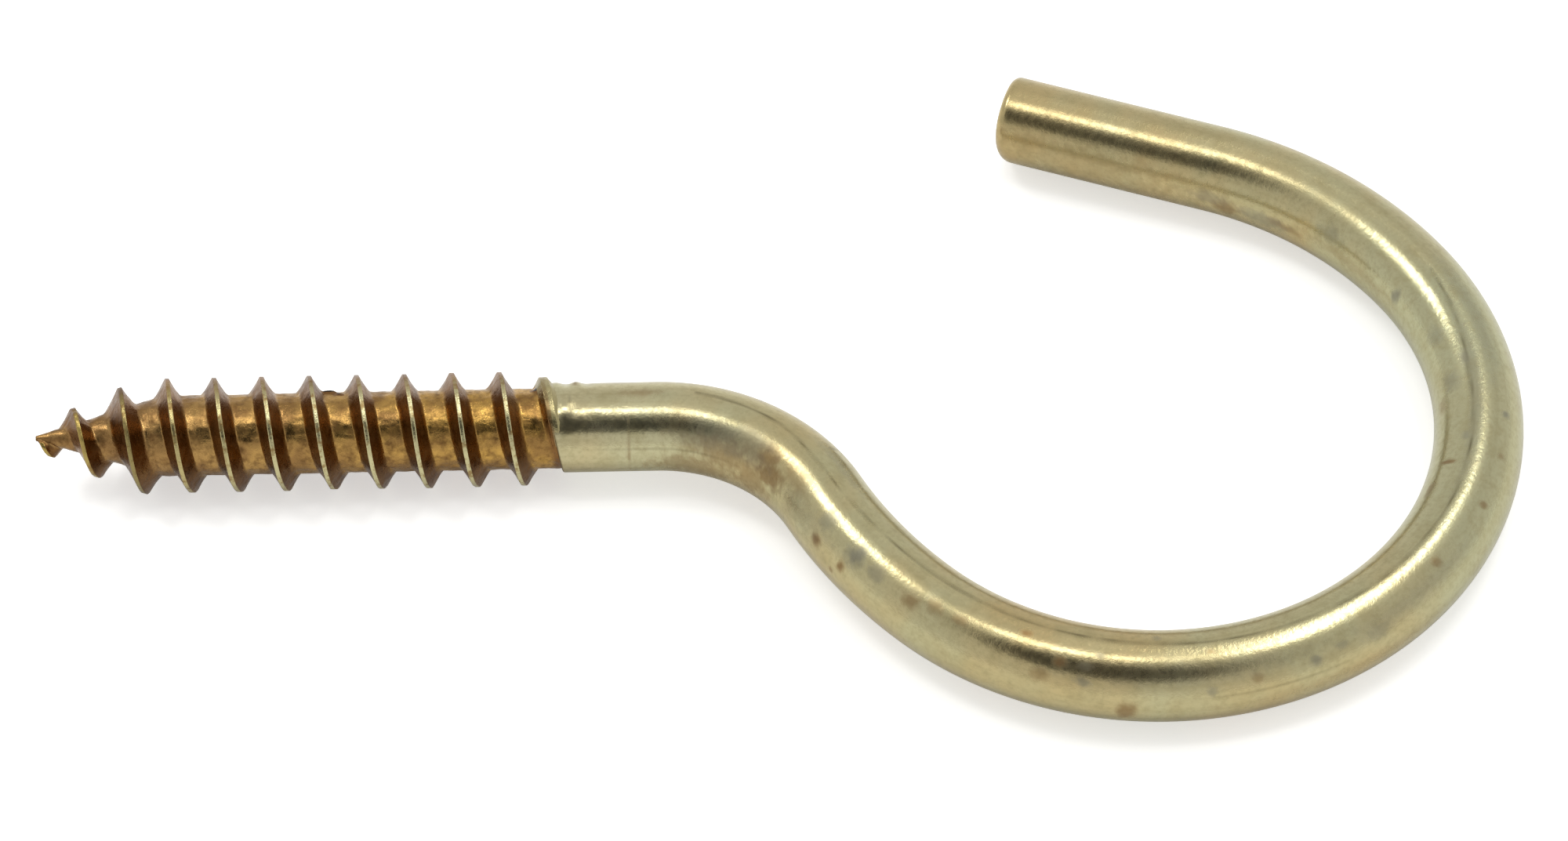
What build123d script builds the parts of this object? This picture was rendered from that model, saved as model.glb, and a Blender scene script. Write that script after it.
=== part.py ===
from build123d import *
from math import acos, atan, atan2, ceil, cos, degrees, floor, hypot, radians, sin, tan
import os

# Screw-in cup hook, bent from one length of round brass wire. One end is rolled into a
# wood-screw thread with a gimlet point. The other end is bent through a neck into an open
# ring and cut off square. Sizes are in millimetres.

# Wire and bend, in order from the thread's shoulder to the cut end
wire_d = 4.76
shank_length = 5.45
neck_r = 10.0
entry_r = 27.2
entry_angle = 18.5
ring_inside_d = 30.4
ring_angle = 168.0
opening_r = 20.9
opening_angle = 36.5
tail_length = 12.0
cut_bevel = 0.35

# Screw thread, right-handed
thread_length = 27.7
pitch = 2.54
crest_d = 6.15
core_d = 4.3
crest_flat = 0.2
root_width = 1.45
knee_width = 0.95
knee_height = 0.28

# Gimlet point, where core and crest both run down to the tip
point_length = 6.8
tip_r = 0.13
crest_rise_length = 5.8
crest_rise_power = 0.62

# Ends of the ridge. Angles go round the screw from the mouth's side towards the top.
first_crest_at = 1.97
first_crest_angle = 40.0
ridge_start_at = 0.45
runout_length = 2.9
runout_past_shoulder = 0.75
shoulder_angle = 11.0

# How deep the ridge is rooted in the core, and how finely it is followed round
root_sink = 0.3
sections_per_turn = 10

# Sizes that follow from those above
wire_r = wire_d / 2
ring_r = (ring_inside_d + wire_d) / 2
crest_r = crest_d / 2
core_r = core_d / 2
full_depth = crest_r - core_r


def neck_angle():
    """Angle of the neck that brings the ring's centre back onto the screw's axis."""
    along = neck_r + entry_r - (entry_r - ring_r) * cos(radians(entry_angle))
    across = -(entry_r - ring_r) * sin(radians(entry_angle))
    return degrees(acos(neck_r / hypot(along, across)) + atan2(across, along))


def core_radius(station):
    """Radius of the core at a distance from the tip."""
    return min(core_r, tip_r + (core_r - tip_r) * station / point_length)


def crest_radius(station):
    """Radius of the ridge's crest: it rises over the point and sinks into the shank."""
    rising = crest_r * (station / crest_rise_length) ** crest_rise_power
    runout_end = thread_length + runout_past_shoulder
    sinking = wire_r + (crest_r - wire_r) * (runout_end - station) / runout_length
    return min(crest_r, rising, sinking)


def ridge_plane(station):
    """Plane through the screw's axis that the ridge crosses at a distance from the tip."""
    angle = radians(first_crest_angle + 360 * (station - first_crest_at) / pitch)
    return Plane(origin=(station, 0, 0), x_dir=(1, 0, 0), z_dir=(0, -sin(angle), cos(angle)))


def ridge_profile(station):
    """Half outline of the ridge, from its root inside the core to the edge of its crest."""
    core = core_radius(station)
    crest = (crest_flat / 2, crest_radius(station))
    share = (crest[1] - core) / full_depth
    knee = (crest[0] + share * (knee_width - crest_flat) / 2, core + share * knee_height)
    root_flare = (root_width - knee_width) / 2 / knee_height
    sunk_to = core - min(root_sink, core / 2)
    root = (knee[0] + root_flare * (knee[1] - sunk_to), sunk_to)
    return [root, knee, crest]


with BuildPart() as hook:
    # The bent wire. Its shoulder slants, as the last turn of the thread leaves it.
    slant_reach = wire_r * tan(radians(shoulder_angle))
    with BuildLine() as bend:
        shank = Line((thread_length - slant_reach, 0), (thread_length + shank_length, 0))
        neck = JernArc(shank @ 1, shank % 1, neck_r, -neck_angle())
        entry = JernArc(neck @ 1, neck % 1, entry_r, entry_angle)
        ring = JernArc(entry @ 1, entry % 1, ring_r, ring_angle)
        opening = JernArc(ring @ 1, ring % 1, opening_r, opening_angle)
        tail = Line(opening @ 1, (opening @ 1) + (opening % 1) * tail_length)
    with BuildSketch(Plane(origin=shank @ 0, z_dir=shank % 0)):
        Circle(wire_r)
    sweep()
    slant = radians(shoulder_angle)
    first = radians(first_crest_angle)
    shoulder_normal = (cos(slant), sin(slant) * cos(first), sin(slant) * sin(first))
    split(bisect_by=Plane(origin=(thread_length, 0, 0), z_dir=shoulder_normal), keep=Keep.TOP)
    cut_end = hook.edges().filter_by(GeomType.CIRCLE).sort_by_distance(tail @ 1)[0]
    chamfer(cut_end, cut_bevel)

    # The screw's core, a cylinder that runs down to the gimlet point
    core_end = thread_length + slant_reach
    with BuildSketch():
        with BuildLine():
            Polyline((0, 0), (0, tip_r), (point_length, core_r), (core_end, core_r), (core_end, 0))
            Line((core_end, 0), (0, 0))
        make_face()
    revolve(axis=Axis.X)

    # The thread's ridge, one loft for each turn, from the tip to where it dies in the shoulder
    ridge_end_at = thread_length + runout_past_shoulder + pitch / 4
    turns = ceil((ridge_end_at - ridge_start_at) / pitch)
    section_gap = (ridge_end_at - ridge_start_at) / turns / sections_per_turn
    for turn in range(turns):
        for step in range(turn * sections_per_turn, (turn + 1) * sections_per_turn + 1):
            station = ridge_start_at + step * section_gap
            rising_flank = [(-x, y) for x, y in ridge_profile(station)]
            falling_flank = [(-x, y) for x, y in reversed(rising_flank)]
            with BuildSketch(ridge_plane(station)):
                with BuildLine():
                    Polyline(rising_flank + falling_flank, close=True)
                make_face()
        loft()

# The hook lies on the last full crest that points down and on the far side of its ring,
# so its screw slopes a little. Its box is centred over the origin and stands on z = 0.
down_at = first_crest_at + pitch * (270 - first_crest_angle) / 360
full_turns = floor((thread_length + runout_past_shoulder - runout_length - down_at) / pitch)
resting_crest_at = down_at + full_turns * pitch
far_side_at = ring.arc_center.X + ring_r
rest_tilt = degrees(atan((crest_r - wire_r) / (far_side_at - resting_crest_at)))
lying = hook.part.rotate(Axis.Y, rest_tilt)
box = lying.bounding_box()
hook.part = lying.translate((-box.center().X, -box.center().Y, -box.min.Z))

os.makedirs("parts", exist_ok=True)
hook.part.label = "cup_hook"
export_step(hook.part, "parts/cup_hook.step")
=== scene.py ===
from math import acos, atan, atan2, cos, exp, floor, hypot, pi, radians, sin, sqrt, tan

import bmesh
import bpy
from mathutils import Matrix, Vector, noise


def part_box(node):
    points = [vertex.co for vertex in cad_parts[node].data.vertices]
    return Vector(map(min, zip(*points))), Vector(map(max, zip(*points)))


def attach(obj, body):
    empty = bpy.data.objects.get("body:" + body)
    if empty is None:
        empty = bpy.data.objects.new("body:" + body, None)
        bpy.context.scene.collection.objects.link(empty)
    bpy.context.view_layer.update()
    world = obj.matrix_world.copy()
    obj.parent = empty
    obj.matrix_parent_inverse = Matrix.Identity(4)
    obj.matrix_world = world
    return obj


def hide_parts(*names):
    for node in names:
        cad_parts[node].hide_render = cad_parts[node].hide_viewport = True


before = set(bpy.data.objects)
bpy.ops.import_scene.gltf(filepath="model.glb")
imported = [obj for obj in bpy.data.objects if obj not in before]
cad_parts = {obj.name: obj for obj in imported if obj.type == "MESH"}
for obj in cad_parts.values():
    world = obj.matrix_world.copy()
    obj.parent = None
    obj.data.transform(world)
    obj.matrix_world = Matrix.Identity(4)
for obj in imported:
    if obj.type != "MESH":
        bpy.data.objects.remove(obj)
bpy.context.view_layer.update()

# The camera looks down on the lying hook from the side of its bend, 27 cm above the paper,
# through a long lens, and leans a little so that the screw runs level.
camera_height_angle = radians(49.93)
camera_side_angle = radians(0.68)
camera_roll = radians(-2.14)
camera_distance = 0.3592
camera_aim = Vector((0.00027, -0.00192, 0.003))
lens_mm = 154.2
sensor_mm = 36.0
nearest_seen = 0.01

towards_camera = Vector((sin(camera_side_angle) * cos(camera_height_angle),
                         -cos(camera_side_angle) * cos(camera_height_angle),
                         sin(camera_height_angle)))
level_right = (-towards_camera).cross(Vector((0, 0, 1))).normalized()
level_up = level_right.cross(-towards_camera)
right = cos(camera_roll) * level_right + sin(camera_roll) * level_up
up = -sin(camera_roll) * level_right + cos(camera_roll) * level_up
camera_data = bpy.data.cameras.new("tripod_camera")
camera_data.lens = lens_mm
camera_data.sensor_width = sensor_mm
camera_data.clip_start = nearest_seen
camera = bpy.data.objects.new("tripod_camera", camera_data)
camera_turn = Matrix((right, up, towards_camera)).transposed().to_4x4()
camera.matrix_world = Matrix.Translation(camera_aim + camera_distance * towards_camera) @ camera_turn
bpy.context.scene.collection.objects.link(camera)
bpy.context.scene.camera = camera
bpy.context.scene.view_settings.view_transform = "Standard"


# The floor is a sheet of matt white paper. It takes the hook's shadow, and a little added
# glow brings the bare paper up to white for the camera, less so where the brass mirrors it.
def linear(hex_colour):
    """Turn an sRGB hex colour into the linear colour that a shader takes."""
    channels = [int(hex_colour[i:i + 2], 16) / 255 for i in (1, 3, 5)]
    return [c / 12.92 if c <= 0.04045 else ((c + 0.055) / 1.055) ** 2.4 for c in channels] + [1.0]


def add_node(tree, kind, settings=None, links=None):
    """Add a shader node, set its fields and sockets, and link outputs into its inputs."""
    node = tree.nodes.new(kind)
    for name, value in (settings or {}).items():
        if isinstance(name, int) or name in node.inputs:
            node.inputs[name].default_value = value
        else:
            setattr(node, name, value)
    for name, output in (links or {}).items():
        tree.links.new(output, node.inputs[name])
    return node


def new_material(name):
    """Make an empty node material and return it with its tree."""
    material = bpy.data.materials.new(name)
    material.use_nodes = True
    material.node_tree.nodes.clear()
    return material, material.node_tree


half_paper = 1.5
paper_colour = "#efefed"
paper_lift = 0.49
mirrored_lift = 0.16

paper_mesh = bpy.data.meshes.new("paper_floor")
paper_mesh.from_pydata([(-half_paper, -half_paper, 0), (half_paper, -half_paper, 0),
                        (half_paper, half_paper, 0), (-half_paper, half_paper, 0)], [], [(0, 1, 2, 3)])
paper = bpy.data.objects.new("paper_floor", paper_mesh)
bpy.context.scene.collection.objects.link(paper)
paper_material, tree = new_material("matt white paper")
matt = add_node(tree, "ShaderNodeBsdfDiffuse", {"Color": linear(paper_colour)})
light_path = add_node(tree, "ShaderNodeLightPath").outputs
seen = add_node(tree, "ShaderNodeMath", {"operation": "MULTIPLY", 1: paper_lift},
                {0: light_path["Is Camera Ray"]})
mirrored = add_node(tree, "ShaderNodeMath", {"operation": "MULTIPLY_ADD", 1: mirrored_lift},
                    {0: light_path["Is Glossy Ray"], 2: seen.outputs[0]})
lift = add_node(tree, "ShaderNodeMath", {"operation": "MULTIPLY_ADD", 1: mirrored_lift},
                {0: light_path["Is Transmission Ray"], 2: mirrored.outputs[0]})
glow = add_node(tree, "ShaderNodeEmission", {"Color": (1, 1, 1, 1)}, {"Strength": lift.outputs[0]})
both = add_node(tree, "ShaderNodeAddShader", None, {0: matt.outputs[0], 1: glow.outputs[0]})
add_node(tree, "ShaderNodeOutputMaterial", None, {"Surface": both.outputs[0]})
paper_mesh.materials.append(paper_material)

# The studio is a white tent, white all round for the camera. What lights the hook is dimmer
# towards the top, with the dark opening for the lens and its holder above the near side.
tent_top_level = 0.74
tent_foot_level = 0.9
tent_top_height = 0.7
opening_height_angle = radians(57)
opening_side_angle = radians(-14)
opening_half_width = 0.47
opening_half_height = 0.4
opening_level = 0.04
opening_edge = (0.7, 1.15)

world = bpy.data.worlds.new("white tent")
bpy.context.scene.world = world
world.use_nodes = True
tree = world.node_tree
tree.nodes.clear()
direction = add_node(tree, "ShaderNodeTexCoord").outputs["Generated"]
opening_turn = Matrix.Rotation(opening_side_angle, 3, "Z")
opening_along = opening_turn @ Vector((1, 0, 0)) / opening_half_width
opening_up = Vector((0, sin(opening_height_angle), cos(opening_height_angle)))
opening_up = opening_turn @ opening_up / opening_half_height
opening_towards = opening_turn @ Vector((0, -cos(opening_height_angle), sin(opening_height_angle)))
shares = [add_node(tree, "ShaderNodeVectorMath", {"operation": "DOT_PRODUCT", 1: axis}, {0: direction})
          for axis in (opening_along, opening_up, opening_towards)]
along_share, up_share, facing = [share.outputs["Value"] for share in shares]
behind = add_node(tree, "ShaderNodeMath", {"operation": "LESS_THAN", 1: 0.0}, {0: facing})
from_middle = add_node(tree, "ShaderNodeCombineXYZ", None,
                       {0: along_share, 1: up_share, 2: behind.outputs[0]})
far_off = add_node(tree, "ShaderNodeVectorMath", {"operation": "LENGTH"}, {0: from_middle.outputs[0]})
height = add_node(tree, "ShaderNodeSeparateXYZ", None, {0: direction}).outputs[2]
tent_level = add_node(tree, "ShaderNodeMapRange",
                      {"From Max": tent_top_height, "To Min": tent_foot_level, "To Max": tent_top_level},
                      {"Value": height})
tent_glow = add_node(tree, "ShaderNodeMapRange",
                     {"interpolation_type": "SMOOTHSTEP", "From Min": opening_edge[0],
                      "From Max": opening_edge[1], "To Min": opening_level},
                     {"Value": far_off.outputs["Value"], "To Max": tent_level.outputs[0]})
light_path = add_node(tree, "ShaderNodeLightPath").outputs
tent_seen = add_node(tree, "ShaderNodeMix", {"data_type": "FLOAT", 3: 1.0},
                     {0: light_path["Is Camera Ray"], 2: tent_glow.outputs[0]})
tent = add_node(tree, "ShaderNodeBackground", {"Color": (1, 1, 1, 1)}, {"Strength": tent_seen.outputs[0]})
add_node(tree, "ShaderNodeOutputWorld", None, {"Surface": tent.outputs[0]})

# Three softboxes hang over the tent: one behind to the left, a long one to the right, and a
# small weak one overhead. They draw the bright lines along the top of the wire.
softbox_height = 1.2
# Each has its name, its place, its width and length, and its power.
softboxes = [("left_softbox", -0.73, 0.50, 0.38, 0.46, 3.8),
             ("right_softbox", 0.37, 0.42, 0.20, 0.78, 3.9),
             ("top_softbox", -0.14, 0.05, 0.42, 0.18, 1.25)]
for name, x, y, width, length, power in softboxes:
    lamp_data = bpy.data.lights.new(name, "AREA")
    lamp_data.shape = "RECTANGLE"
    lamp_data.size = width
    lamp_data.size_y = length
    lamp_data.energy = power
    lamp = bpy.data.objects.new(name, lamp_data)
    lamp.location = (x, y, softbox_height)
    bpy.context.scene.collection.objects.link(lamp)

# The wire is drawn brass, bent cold over round formers and cut off with a shear. Its sizes
# are in millimetres, along the centreline from the thread's shoulder to the cut end.
wire_d = 4.76
shank_length = 5.45
neck_r = 10.0
entry_r = 27.2
entry_angle = radians(18.5)
ring_inside_d = 30.4
ring_angle = radians(168.0)
opening_r = 20.9
opening_angle = radians(36.5)
tail_length = 12.0
thread_length = 27.7
shoulder_angle = radians(11.0)
first_crest_angle = radians(40.0)
shoulder_round = 0.1
slant_fade = 2.0
cut_edge_r = 0.45
sheared_r = 0.5
sheared_angle = radians(-35)
loop_step = 0.135
edge_loops = 8
loop_points = 110
# Flat loops close the two ends, and the shoulder's corner is rounded by loops that each have
# their painted shade and their turn.
shoulder_loop_radii = [0.1, 0.5, 1.0, 1.5, 1.9]
corner_loops = [(0.7, pi / 6), (0.4, pi / 3), (0.1, pi / 2)]
cut_loop_radii = [1.6, 1.2, 0.8, 0.4, 0.1]

wire_r = wire_d / 2
ring_r = (ring_inside_d + wire_d) / 2
along = neck_r + entry_r - (entry_r - ring_r) * cos(entry_angle)
across = -(entry_r - ring_r) * sin(entry_angle)
neck_angle = acos(neck_r / hypot(along, across)) + atan2(across, along)
bends = [(shank_length, 0.0), (neck_r * neck_angle, -1 / neck_r), (entry_r * entry_angle, 1 / entry_r),
         (ring_r * ring_angle, 1 / ring_r), (opening_r * opening_angle, 1 / opening_r), (tail_length, 0.0)]
wire_length = sum(length for length, curvature in bends)


def on_centreline(distance):
    """Point and heading of the wire's centreline at a distance from the shoulder."""
    x, y, heading = thread_length, 0.0, 0.0
    for length, curvature in bends:
        run = min(distance, length)
        if curvature:
            turned = heading + curvature * run
            x += (sin(turned) - sin(heading)) / curvature
            y += (cos(heading) - cos(turned)) / curvature
            heading = turned
        else:
            x += run * cos(heading)
            y += run * sin(heading)
        distance -= run
        if distance <= 0:
            break
    return x, y, heading


# Each mark has its place along the wire from the shoulder and round it from the left side, in
# millimetres and degrees, its half length and half width in millimetres, and its strength.
brown_marks = [(4.7, 80, 1.0, 0.22, 0.55), (13.2, 128, 0.8, 0.45, 0.8), (13.9, 146, 1.0, 0.6, 0.85),
               (12.6, 165, 1.3, 0.9, 0.6), (10.2, 152, 2.4, 0.8, 0.6), (8.0, 185, 2.2, 0.7, 0.6),
               (6.6, 125, 1.1, 0.7, 0.3), (4.0, 160, 0.05, 1.7, 0.9), (19.1, 153, 0.27, 0.3, 1.0),
               (21.1, 154, 0.22, 0.26, 1.0), (20.6, 171, 0.14, 0.14, 0.8), (25.5, 128, 0.4, 0.35, 0.75),
               (26.7, 117, 0.45, 0.3, 0.6), (28.2, 117, 0.4, 0.22, 0.6), (31.6, 99, 0.28, 0.16, 0.9),
               (32.8, 146, 0.35, 0.3, 0.5), (33.6, 124, 0.3, 0.28, 1.0), (36.9, 181, 0.4, 0.5, 0.8),
               (41.0, 100, 0.2, 0.1, 0.6), (43.1, 144, 0.24, 0.24, 0.55), (54.2, 118, 0.25, 0.3, 0.7),
               (58.7, 125, 0.2, 0.24, 0.8), (58.7, 46, 0.5, 0.2, 0.6), (60.8, 57, 0.12, 0.4, 1.0),
               (61.9, 124, 0.14, 0.2, 0.6), (65.6, 33, 0.5, 0.3, 0.45), (88.4, -4, 0.7, 0.45, 0.7),
               (84.2, 4, 1.1, 0.2, 0.6), (79.0, 12, 3.5, 0.3, 0.3), (48.0, 178, 5.0, 0.3, 0.2),
               (95.5, 18, 3.2, 0.25, 0.35), (98.0, 2, 6.5, 1.1, 0.3), (1.35, 52, 0.12, 0.25, 0.9),
               (16.0, 122, 1.1, 0.5, 0.45), (13.2, 118, 0.6, 0.35, 0.5)]
grey_films_and_reflection = [(19.0, 122, 0.45, 0.5, 0.6), (21.5, 128, 0.5, 0.52, 1.0), (23.1, 128, 0.45, 0.4, 0.6),
              (34.9, 123, 0.4, 0.22, 0.8), (34.8, 143, 0.35, 0.2, 0.7), (35.5, 107, 0.22, 0.16, 0.6),
              (40.9, 152, 0.2, 0.2, 0.6), (46.0, 142, 0.26, 0.28, 0.8), (47.5, 136, 0.3, 0.2, 0.5),
              (49.5, 142, 0.7, 0.35, 0.5), (62.7, 74, 0.3, 0.2, 0.7), (64.6, 123, 0.18, 0.2, 1.0),
              (68.3, 76, 0.6, 0.22, 0.8), (65.5, 83, 5.0, 0.28, 0.45), (67.0, 52, 0.6, 0.45, 0.5),
              (70.7, 46, 0.5, 0.45, 0.4), (75.1, 27, 0.3, 0.34, 0.9), (81.2, 32, 0.7, 0.4, 0.5),
              # The mark at 71.0 mm and 108 degrees is a painted reflection of something dark.
              (85.8, 0, 1.5, 0.4, 0.6), (89.5, 6, 0.9, 0.35, 0.5), (71.0, 108, 3.5, 0.35, 0.35),
              (38.3, 73, 0.2, 0.2, 0.6), (2.6, 130, 0.5, 0.25, 0.4), (16.2, 60, 1.8, 0.3, 0.35),
              (52.5, 132, 3.5, 0.3, 0.3), (11.5, 136, 1.6, 0.5, 0.45), (8.5, 141, 1.5, 0.4, 0.35),
              (17.5, 150, 1.8, 0.7, 0.3), (43.5, 122, 0.8, 0.3, 0.3), (9.6, 128, 1.6, 0.5, 0.55),
              (11.6, 118, 1.4, 0.45, 0.5), (39.5, 128, 5.0, 0.5, 0.3)]
thin_marks = [(6.6, 160, 3.4, 0.06, 0.35), (1.1, 100, 0.05, 0.6, 0.5), (10.5, 40, 0.08, 0.4, 0.5),
              (15.0, 45, 0.1, 0.35, 0.5), (44.0, 160, 3.0, 0.05, 0.3)]
# Dents have a height in millimetres in place of the strength, below zero where they go in.
dents = [(0.5, 46, 0.24, 0.7, 0.07), (0.95, 48, 0.17, 0.6, -0.06), (1.4, 46, 0.2, 0.6, 0.1),
         (1.85, 50, 0.22, 0.6, -0.05), (0.35, 88, 0.3, 0.55, -0.05), (0.85, 100, 0.3, 0.45, 0.05),
         (1.5, 82, 0.35, 0.5, -0.04), (0.7, 125, 0.3, 0.4, -0.03), (2.3, 118, 0.35, 0.3, -0.02)]
# The die left one scratch along the wire, through these places.
die_line = [(7.5, 76), (12.5, 80), (15.0, 87), (20.0, 83), (28.0, 80), (36.0, 83), (51.0, 88), (60.0, 84),
            (67.5, 76), (75.0, 88)]
die_line_half_width = 0.14
# Counted from its middle in half sizes, a mark is gone at the first of these and looked for
# up to the second. Its edge is frayed, and the scratch comes and goes, by waves of so many to
# the millimetre and so much strength.
mark_gone_at = 1.6
mark_reach = 2
edge_waves = [(2.3, 0.35), (6.1, 0.25)]
thin_edge_share = 0.5
scratch_level = 0.6
scratch_wave = (1.1, 0.7)


def far_from(mark, distance, angle, radius):
    """How far a place on the wire is from a mark's middle, where 1 is the mark's edge."""
    mark_at, mark_angle, half_length, half_width = mark[:4]
    round_wire = (angle - radians(mark_angle) + pi) % (2 * pi) - pi
    return hypot((distance - mark_at) / half_length, round_wire * radius / half_width)


def mark_strength(marks, distance, angle, ragged):
    """Strength of the strongest of these marks at a place on the wire."""
    strongest = 0.0
    for mark in marks:
        off = far_from(mark, distance, angle, wire_r) + ragged * (1 + min(mark[2], mark[3]))
        strongest = max(strongest, mark[4] * min(1, max(0, mark_gone_at - off)))
    return strongest


def line_strength(distance, angle):
    """Strength of the die's scratch at a place on the wire."""
    for (start, start_angle), (end, end_angle) in zip(die_line, die_line[1:]):
        if start <= distance < end:
            share = (distance - start) / (end - start)
            round_wire = angle - radians(start_angle + share * (end_angle - start_angle))
            return max(0, 1 - abs(round_wire) * wire_r / die_line_half_width)
    return 0.0


# Each loop of points has its distance, its radius, how far it is shifted ahead, how much it
# slants with the shoulder, and how much painted shade darkens it in the shoulder's corner.
loops = [(0.0, radius, 0.0, 1.0, 1.0) for radius in shoulder_loop_radii + [wire_r - shoulder_round]]
for shoulder_shade, turn in corner_loops:
    rounded = shoulder_round * (1 - sin(turn))
    loops.append((0.0, wire_r - rounded, shoulder_round * (1 - cos(turn)), 1.0, shoulder_shade))
straight_loops = int((wire_length - cut_edge_r) / loop_step)
for i in range(1, straight_loops + 1):
    distance = (wire_length - cut_edge_r) * i / straight_loops
    loops.append((distance, wire_r, 0.0, max(0.0, 1 - distance / slant_fade), 0.0))
for i in range(1, edge_loops + 1):
    turn = pi / 2 * i / edge_loops
    loops.append((wire_length, wire_r, -cut_edge_r * (1 - sin(turn)), 0.0, 0.0))
loops += [(wire_length, radius, 0.0, 0.0, 0.0) for radius in cut_loop_radii]

wire_points = []
wire_places = []
wire_marks = []
for distance, radius, shift, slant, shoulder_shade in loops:
    x, y, heading = on_centreline(distance)
    near_brown, near_grey, near_thin, near_dents = [
        [mark for mark in marks if abs(mark[0] - distance) < mark_reach * mark[2]]
        for marks in (brown_marks, grey_films_and_reflection, thin_marks, dents)]
    for j in range(loop_points):
        angle = 2 * pi * j / loop_points
        ahead = shift - slant * tan(shoulder_angle) * radius * cos(angle - first_crest_angle)
        edge_r = cut_edge_r + sheared_r * max(0, cos(angle - sheared_angle)) ** 2
        past_edge = min(edge_r, max(0, edge_r - (wire_length - distance - shift)))
        dented = min(radius, wire_r - edge_r + sqrt(edge_r ** 2 - past_edge ** 2))
        for dent in near_dents:
            dented += dent[4] * exp(-far_from(dent, distance, angle, wire_r) ** 2)
        out = dented * cos(angle)
        wire_points.append((x - sin(heading) * out + cos(heading) * ahead,
                            y + cos(heading) * out + sin(heading) * ahead, dented * sin(angle)))
        place = Vector((thread_length + distance + ahead, radius * cos(angle), radius * sin(angle)))
        ragged = sum(strength * noise.noise(place * per_mm) for per_mm, strength in edge_waves)
        unbroken = scratch_level + scratch_wave[1] * noise.noise(place * scratch_wave[0])
        line = line_strength(distance, angle) * unbroken
        wire_places.append(place)
        # The shoulder's flat face and rounded corner are darkened with painted shade, through the brown and
        # thin marks.
        wire_marks.append((max(mark_strength(near_brown, distance, angle, ragged), shoulder_shade),
                           mark_strength(near_grey, distance, angle, ragged),
                           max(mark_strength(near_thin, distance, angle, ragged * thin_edge_share),
                               line, shoulder_shade)))
wire_faces = []
for i in range(len(loops) - 1):
    for j in range(loop_points):
        k = (j + 1) % loop_points
        wire_faces.append((i * loop_points + j, i * loop_points + k,
                           (i + 1) * loop_points + k, (i + 1) * loop_points + j))
wire_faces.append(tuple(range(loop_points - 1, -1, -1)))
wire_faces.append(tuple(range((len(loops) - 1) * loop_points, len(loops) * loop_points)))
wire_mesh = bpy.data.meshes.new("bent_wire")
wire_mesh.from_pydata(wire_points, [], wire_faces)

# The hook comes to rest on the last full downward crest of its thread and on the far side of
# its ring, which tilts it by this much. The solid's box says where it lies, and the solid's
# crest sinks over this length before the shoulder.
mm = 0.001
pitch = 2.54
crest_d = 6.15
first_crest_at = 1.97
crest_sinks_over = 2.15
crest_r = crest_d / 2
down_at = first_crest_at + pitch * (1.5 * pi - first_crest_angle) / (2 * pi)
full_turns = floor((thread_length - crest_sinks_over - down_at) / pitch)
ring_start = on_centreline(shank_length + neck_r * neck_angle + entry_r * entry_angle)
far_side_at = ring_start[0] - ring_r * sin(ring_start[2]) + ring_r
rest_tilt = atan((crest_r - wire_r) / (far_side_at - down_at - full_turns * pitch))
laid = Matrix.Rotation(rest_tilt, 4, "Y") @ Matrix.Scale(mm, 4)
wire_mesh.transform(laid)
low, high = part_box("cup_hook")
wire_right = max(v.co.x for v in wire_mesh.vertices)
wire_near = min(v.co.y for v in wire_mesh.vertices)
wire_low = min(v.co.z for v in wire_mesh.vertices)
placed = Matrix.Translation((high[0] - wire_right, low[1] - wire_near, low[2] - wire_low))
wire_mesh.transform(placed)
doubled_within = 0.001 * mm


def skinned(mesh, places, marks, material):
    """Keep the skin's lengthways places and marks, join its doubled points and dress it."""
    for name, values in (("wire_place", places), ("marks", marks)):
        attribute = mesh.attributes.new(name, "FLOAT_VECTOR", "POINT")
        attribute.data.foreach_set("vector", [part for value in values for part in value])
    skin = bmesh.new()
    skin.from_mesh(mesh)
    bmesh.ops.remove_doubles(skin, verts=skin.verts, dist=doubled_within)
    bmesh.ops.recalc_face_normals(skin, faces=skin.faces)
    skin.to_mesh(mesh)
    skin.free()
    mesh.polygons.foreach_set("use_smooth", [True] * len(mesh.polygons))
    mesh.materials.append(material)
    piece = bpy.data.objects.new(mesh.name, mesh)
    bpy.context.scene.collection.objects.link(piece)
    return piece


# Drawn brass, bright but handled: yellow-green metal with a semi-polished skin. The eye gets
# a sharp bright line, a speckled dark one, thin brown and grey films, and one long grey mark
# that is a painted reflection of something dark. All scales are in millimetres. The real grain
# and the lines from the die are some hundredths of a millimetre apart, too fine to show, so both
# are drawn about ten times as coarse. The tail is duller.
greener_brass = "#b9b28a"
warmer_brass = "#bdaa7b"
patch_size = 7.0
mottle_size = 1.3
grain_size = 0.3
streak_length = 9.0
streak_width = 0.35
streak_relief = 0.3
grain_depth = 0.011 * mm
polished_roughness = 0.14
grain_roughness = 0.18
mark_roughness = Vector((0.2, 0.16, 0.1))
shank_ends_at = thread_length + 4.0
pale_until = thread_length + 13.0
greener_at = thread_length + 65.0
tail_dulls_from = thread_length + 76
tail_dull_at = thread_length + 92
tail_roughness = 0.03

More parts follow.
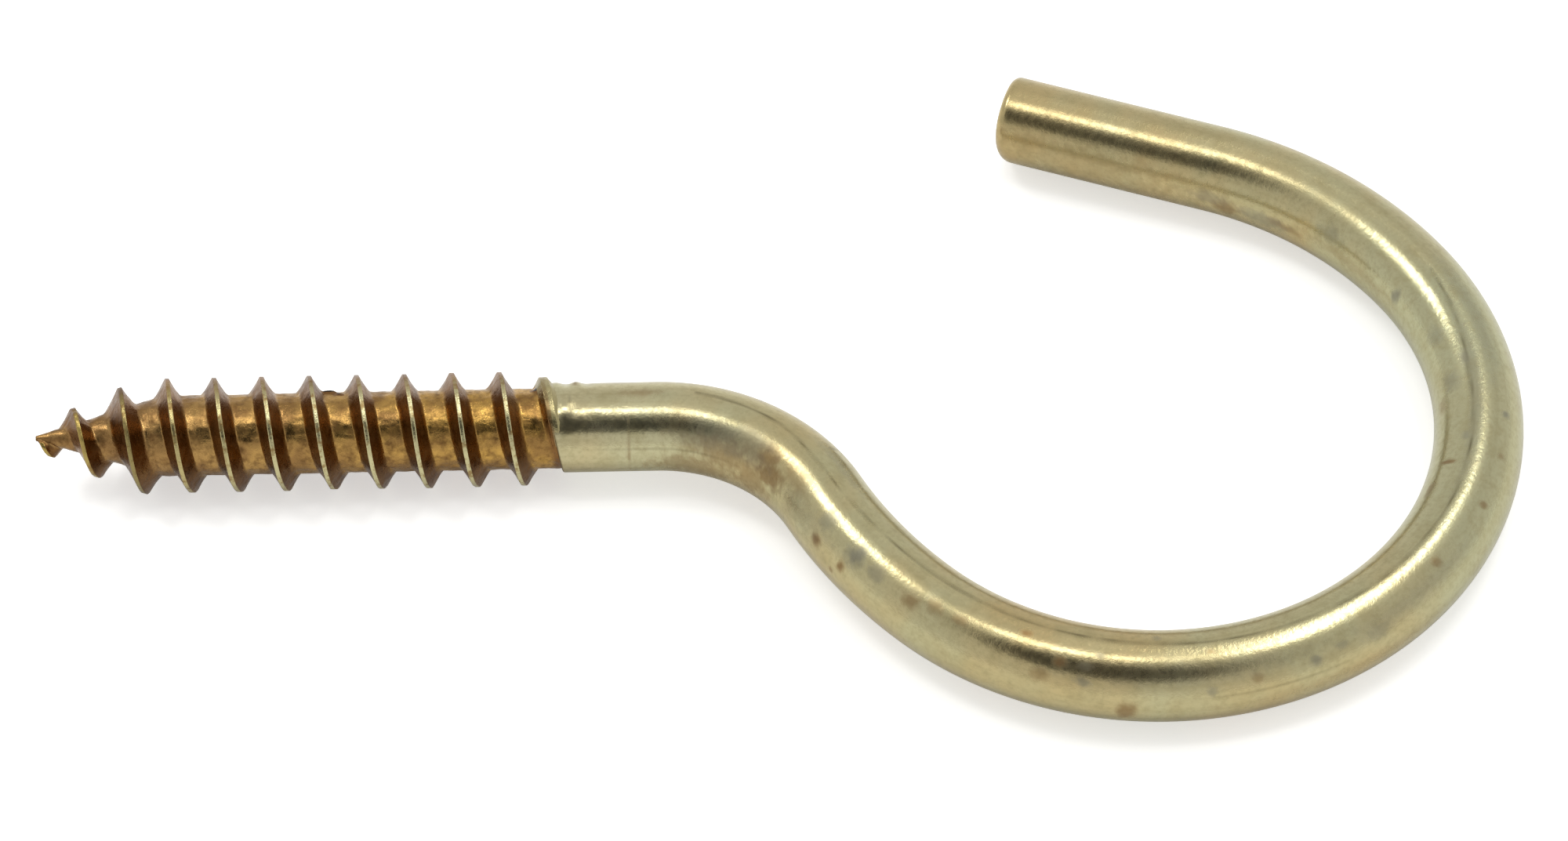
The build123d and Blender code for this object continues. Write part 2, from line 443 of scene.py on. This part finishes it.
brass, tree = new_material("drawn brass, semi-polished")
place = add_node(tree, "ShaderNodeAttribute", {"attribute_name": "wire_place"}).outputs["Vector"]
marks = add_node(tree, "ShaderNodeAttribute", {"attribute_name": "marks"}).outputs["Vector"]
brown, grey, thin = add_node(tree, "ShaderNodeSeparateXYZ", None, {0: marks}).outputs
along_wire = add_node(tree, "ShaderNodeSeparateXYZ", None, {0: place}).outputs[0]
from_greener = add_node(tree, "ShaderNodeMath", {"operation": "SUBTRACT", 1: greener_at}, {0: along_wire})
off_greener = add_node(tree, "ShaderNodeMath", {"operation": "ABSOLUTE"}, {0: from_greener.outputs[0]})
patches, mottles, grain = [
    add_node(tree, "ShaderNodeTexNoise", {"Scale": 1 / size, "Detail": 3.0, "Roughness": rough},
             {"Vector": place}).outputs[0]
    for size, rough in ((patch_size, 0.6), (mottle_size, 0.6), (grain_size, 0.65))]
streak_scale = Vector((1 / streak_length, 1 / streak_width, 1 / streak_width))
streak_place = add_node(tree, "ShaderNodeVectorMath", {"operation": "MULTIPLY", 1: streak_scale}, {0: place})
streaks = add_node(tree, "ShaderNodeTexNoise", {"Scale": 1.0, "Detail": 2.0},
                   {"Vector": streak_place.outputs[0]}).outputs[0]
patch_share = add_node(tree, "ShaderNodeMapRange", {"From Min": 0.38, "From Max": 0.62}, {"Value": patches})
colour = add_node(tree, "ShaderNodeMix",
                  {"data_type": "RGBA", 6: linear(greener_brass), 7: linear(warmer_brass)},
                  {0: patch_share.outputs[0]}).outputs[2]
# Each layer has its pattern, the values at which it is absent and at its full share, that
# share, and its tint: dulled green and pale stretches, mottling, grain, streaks and marks, the
# marks with painted shade at the shoulder and a painted reflection among them.
brass_layers = [(off_greener.outputs[0], 18.0, 9.0, 0.75, "#b3b391"),
                (along_wire, pale_until, shank_ends_at, 0.38, "#c8c4a2"),
                (mottles, 0.5, 0.7, 0.4, "#a0946a"),
                (grain, 0.45, 0.75, 0.4, "#948a62"), (streaks, 0.5, 0.75, 0.2, "#988c62"),
                (brown, 0.0, 1.0, 0.75, "#76522a"), (grey, 0.0, 1.0, 0.7, "#76746a"),
                (thin, 0.0, 1.0, 0.75, "#453b22")]
for value, none_at, full_at, full_share, tint in brass_layers:
    share = add_node(tree, "ShaderNodeMapRange",
                     {"From Min": none_at, "From Max": full_at, "To Max": full_share}, {"Value": value})
    colour = add_node(tree, "ShaderNodeMix", {"data_type": "RGBA", 7: linear(tint)},
                      {0: share.outputs[0], 6: colour}).outputs[2]
skin = add_node(tree, "ShaderNodeMath",
                {"operation": "MULTIPLY_ADD", 1: grain_roughness, 2: polished_roughness}, {0: grain})
dulled = add_node(tree, "ShaderNodeVectorMath", {"operation": "DOT_PRODUCT", 1: mark_roughness}, {0: marks})
duller_tail = add_node(tree, "ShaderNodeMapRange",
                       {"From Min": tail_dulls_from, "From Max": tail_dull_at, "To Max": tail_roughness},
                       {"Value": along_wire})
spotted = add_node(tree, "ShaderNodeMath", {"operation": "ADD"},
                   {0: skin.outputs[0], 1: dulled.outputs["Value"]})
roughness = add_node(tree, "ShaderNodeMath", {"operation": "ADD"},
                     {0: spotted.outputs[0], 1: duller_tail.outputs[0]})
relief = add_node(tree, "ShaderNodeMath", {"operation": "MULTIPLY_ADD", 1: streak_relief},
                  {0: streaks, 2: grain})
bump = add_node(tree, "ShaderNodeBump", {"Strength": 1.0, "Distance": grain_depth},
                {"Height": relief.outputs[0]})
shader = add_node(tree, "ShaderNodeBsdfPrincipled", {"Metallic": 1.0},
                  {"Base Color": colour, "Roughness": roughness.outputs[0], "Normal": bump.outputs[0]})
add_node(tree, "ShaderNodeOutputMaterial", None, {"Surface": shader.outputs[0]})

bent_wire = skinned(wire_mesh, wire_places, wire_marks, brass)
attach(bent_wire, "root")
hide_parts("cup_hook")

# The screw is the same wire, rolled between flat dies into a coarse wood-screw thread. The
# ridge runs from the tip to the shoulder, sinking and spreading over its last turn.
core_d = 4.3
crest_flat = 0.2
root_width = 1.45
flank_power = 1.3
point_length = 6.8
tip_r = 0.13
crest_rise_length = 5.8
crest_rise_power = 0.62
ridge_start_at = 0.45
ridge_start_length = 0.3
runout_length = 1.3
runout_past_shoulder = 0.35
spread_from = thread_length - 1.7
spread_length = 1.4
most_spread = 0.75
flat_growth = 1.5
spread_shift = 0.25
spread_reach = 1.08
screw_end_at = thread_length + 1.2
screw_end_taper = 0.2
steps_per_turn = 128
core_r = core_d / 2
full_depth = crest_r - core_r


def core_radius(station):
    """Radius of the core at a distance from the tip."""
    return min(core_r, tip_r + (core_r - tip_r) * max(station, 0) / point_length)


def crest_radius(station):
    """Radius of the ridge's crest at a distance from the tip."""
    rising = crest_r * (max(station, 0.001) / crest_rise_length) ** crest_rise_power
    runout_end = thread_length + runout_past_shoulder
    sinking = wire_r + (crest_r - wire_r) * (runout_end - station) / runout_length
    return min(crest_r, rising, sinking)


def ridge_height(offset, depth, spread):
    """Height of the ridge above the core, at an offset from the middle of its crest."""
    share = max(max(depth, 0) / full_depth, spread)
    flat = crest_flat / 2 * (1 + flat_growth * spread)
    foot = flat + share * (root_width - crest_flat) / 2
    climb = (foot - max(abs(offset), flat)) / max(foot - flat, 0.001)
    return max(depth, 0) * max(climb, 0) ** flank_power


# What rolling, driving and age did to it: grit on the core, a wandering crest worn down here
# and there and where it would catch the paper, a burr on the tip, and chips with dirt in them,
# listed as the wire's dents are.
grit_height = 0.035
grit_waves = [(1.9, 1.0), (4.3, 0.7)]
grit_full_from_r = 0.8
crest_wear = 0.063
wear_waves = [(9.0, 1.0, 3.1, 0.7), (31.0, 0.6, 1.7, 5.2)]
rubbed_at = 26.45
rubbed_half_length = 0.4
rubbed_depth = 0.04
crest_wander = 0.03
wander_wave = (7.0, 8.1, 2.7)
wander_reach = 0.6
burr_height = 0.16
burr_at = 0.85
burr_half_length = 0.3
chips = [(15.75, 52, 0.42, 0.2, 0.16), (16.3, 60, 0.2, 0.14, 0.08), (26.9, 62, 0.3, 0.2, 0.06)]
# Crests are bare metal where they stand high enough, less so over the spread, and on the upper
# side they are painted duller as shade. Painted shade darkens the shoulder's corner, and the spread's high
# side is bright.
bare_from_height = 0.15
bare_lost_in_spread = 0.6
bare_lost_to_upper_shade = 0.75
upper_side_angle = radians(40)
corner_shade_strength = 0.3
corner_shade_length = 0.4
shoulder_lap = 0.1
bright_share = 0.75
bright_from_height = 0.1

# Each step round the helix has one row of points across the ridge, closest where it bends.
flank_steps = [0.0, 0.05, 0.1, 0.13, 0.17, 0.22, 0.28, 0.34, 0.4, 0.46, 0.52, 0.58, 0.64, 0.7, 0.76, 0.9,
               1.08]
offsets = [-step for step in reversed(flank_steps[1:])] + flank_steps + [pitch / 2]
across_count = len(offsets)
start_turns = -1.5
helix_steps = int(((screw_end_at - first_crest_at) / pitch - start_turns + 1) * steps_per_turn)
screw_points = []
screw_places = []
screw_marks = []
for i in range(helix_steps):
    turns = start_turns + i / steps_per_turn
    angle = first_crest_angle + 2 * pi * turns
    crest_at = first_crest_at + pitch * turns
    depth = crest_radius(crest_at) - core_radius(crest_at)
    if crest_at < ridge_start_at:
        depth *= max(0, 1 - (ridge_start_at - crest_at) / ridge_start_length)
    depth += burr_height * exp(-((crest_at - burr_at) / burr_half_length) ** 2)
    wear = sum(strength * noise.noise(Vector((turns * per_turn, y, z)))
               for per_turn, strength, y, z in wear_waves)
    depth -= crest_wear * max(0, wear)
    depth -= rubbed_depth * exp(-((crest_at - rubbed_at) / rubbed_half_length) ** 2)
    wander = crest_wander * noise.noise(Vector((turns * wander_wave[0], *wander_wave[1:])))
    spread = min(1, max(0, (crest_at - spread_from) / spread_length))
    for offset in offsets:
        station = crest_at + offset + wander * (abs(offset) < wander_reach)
        station -= spread_shift * spread * max(0, 1 - abs(offset) / spread_reach)
        height = ridge_height(offset, depth, most_spread * spread)
        radius = core_radius(station) + height
        place = Vector((station, radius * cos(angle), radius * sin(angle)))
        grit = sum(strength * noise.noise(place * per_mm) for per_mm, strength in grit_waves)
        radius += grit_height * grit * min(1, radius / grit_full_from_r) * max(0, 1 - height / full_depth)
        chip_dirt = 0.0
        for chip in chips:
            chipped = exp(-far_from(chip, station, angle, core_r) ** 4)
            chip_dirt = max(chip_dirt, chipped)
            radius += chip[4] * chipped
        radius *= min(1, max(0, (screw_end_at - station) / screw_end_taper)) * (station > 0)
        station = min(max(station, 0), screw_end_at)
        screw_points.append((station, radius * cos(angle), radius * sin(angle)))
        screw_places.append(place)
        # By the shoulder's corner the screw takes the flanks' dark brown as painted shade.
        shoulder_at = thread_length - tan(shoulder_angle) * radius * cos(angle - first_crest_angle)
        from_corner = max(0, shoulder_at - station - shoulder_lap)
        corner_shade = corner_shade_strength * max(0, 1 - from_corner / corner_shade_length)
        # On the upper side the crests are kept less bare, and so darker, as painted shade.
        upper = max(0, cos(angle - upper_side_angle))
        on_crest = abs(offset) <= crest_flat / 2 and height > bare_from_height
        bared = on_crest * (1 - bare_lost_in_spread * spread) * (1 - bare_lost_to_upper_shade * upper ** 2)
        bright = bright_share * min(1, 2 * spread) * upper * (height > bright_from_height)
        screw_marks.append((max(height / full_depth, corner_shade, 2 * chip_dirt), bared,
                            bright if station < shoulder_at + shoulder_lap else 1.0))
screw_faces = []
for i in range(helix_steps - 1):
    here = i * across_count
    ahead = here + across_count
    for j in range(across_count - 1):
        screw_faces.append((here + j, ahead + j, ahead + j + 1, here + j + 1))
    if i + 1 + steps_per_turn < helix_steps:
        one_turn = steps_per_turn * across_count
        screw_faces.append((ahead - 1, ahead + across_count - 1, ahead + one_turn, here + one_turn))
screw_mesh = bpy.data.meshes.new("rolled_screw")
screw_mesh.from_pydata(screw_points, [], screw_faces)
screw_mesh.transform(placed @ laid)

# Thread-rolled brass, left as it came from the dies and darkened by age. The eye gets gritty
# bronze between the threads, dark brown flanks, whose colour is partly grime and partly painted
# shade, and bare pale crests. All scales are in millimetres. The rolled skin's real pits are
# about a tenth of a millimetre and are drawn some five times as coarse, so that they show.
pit_size = 0.55
film_size = 1.6
pit_depth = 0.04 * mm
smoothest = 0.16
roughest = 0.46

rolled, tree = new_material("brass, thread-rolled and darkened")
place = add_node(tree, "ShaderNodeAttribute", {"attribute_name": "wire_place"}).outputs["Vector"]
marks = add_node(tree, "ShaderNodeAttribute", {"attribute_name": "marks"}).outputs["Vector"]
raised, bare, bright = add_node(tree, "ShaderNodeSeparateXYZ", None, {0: marks}).outputs
along_screw = add_node(tree, "ShaderNodeSeparateXYZ", None, {0: place}).outputs[0]
pits = add_node(tree, "ShaderNodeTexNoise", {"Scale": 1 / pit_size, "Detail": 5.0, "Roughness": 0.7},
                {"Vector": place}).outputs[0]
film = add_node(tree, "ShaderNodeTexNoise", {"Scale": 1 / film_size, "Detail": 3.0},
                {"Vector": place}).outputs[0]
# Each part has its first tint, and then layers as the wire's skin has them.
screw_layers = {"core": ["#a58250", (along_screw, 6.0, 26.0, 1.0, "#c2994f"),
                         (film, 0.42, 0.62, 0.75, "#84633c"), (pits, 0.46, 0.66, 0.65, "#5a3e22")],
                "flank_grime_and_shade": ["#6e4d2b", (film, 0.35, 0.65, 1.0, "#89643a")],
                "crest": ["#a58f50", (along_screw, 2.0, 14.0, 1.0, "#c3bb8f"),
                          (pits, 0.5, 0.62, 0.8, "#8a6c3c")]}
coloured = {}
for part, (first_tint, *layers) in screw_layers.items():
    links = {}
    for value, none_at, full_at, full_share, tint in layers:
        share = add_node(tree, "ShaderNodeMapRange",
                         {"From Min": none_at, "From Max": full_at, "To Max": full_share}, {"Value": value})
        links[0] = share.outputs[0]
        tints = {6: linear(first_tint), 7: linear(tint)}
        links[6] = add_node(tree, "ShaderNodeMix", {"data_type": "RGBA", **tints}, links).outputs[2]
    coloured[part] = links[6]
colour = coloured["core"]
# Up the ridge the flanks take a dark brown that is partly grime and partly painted shade.
for value, none_at, full_at, part in ((raised, 0.03, 0.22, "flank_grime_and_shade"), (bare, 0.3, 0.7, "crest")):
    share = add_node(tree, "ShaderNodeMapRange", {"From Min": none_at, "From Max": full_at}, {"Value": value})
    colour = add_node(tree, "ShaderNodeMix", {"data_type": "RGBA"},
                      {0: share.outputs[0], 6: colour, 7: coloured[part]}).outputs[2]
# Values above 1 are the chips' dirt, and where the screw is bright it looks as the wire does.
for value, none_at, full_at, tint in ((raised, 1.1, 1.7, "#14110d"), (bright, 0.0, 1.0, "#a59a70")):
    share = add_node(tree, "ShaderNodeMapRange", {"From Min": none_at, "From Max": full_at}, {"Value": value})
    colour = add_node(tree, "ShaderNodeMix", {"data_type": "RGBA", 7: linear(tint)},
                      {0: share.outputs[0], 6: colour}).outputs[2]
roughness = add_node(tree, "ShaderNodeMapRange",
                     {"From Min": 0.35, "From Max": 0.7, "To Min": smoothest, "To Max": roughest},
                     {"Value": pits})
bump = add_node(tree, "ShaderNodeBump", {"Strength": 1.0, "Distance": pit_depth}, {"Height": pits})
shader = add_node(tree, "ShaderNodeBsdfPrincipled", {"Metallic": 1.0},
                  {"Base Color": colour, "Roughness": roughness.outputs[0], "Normal": bump.outputs[0]})
add_node(tree, "ShaderNodeOutputMaterial", None, {"Surface": shader.outputs[0]})

rolled_screw = skinned(screw_mesh, screw_places, screw_marks, rolled)
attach(rolled_screw, "root")
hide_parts("cup_hook")
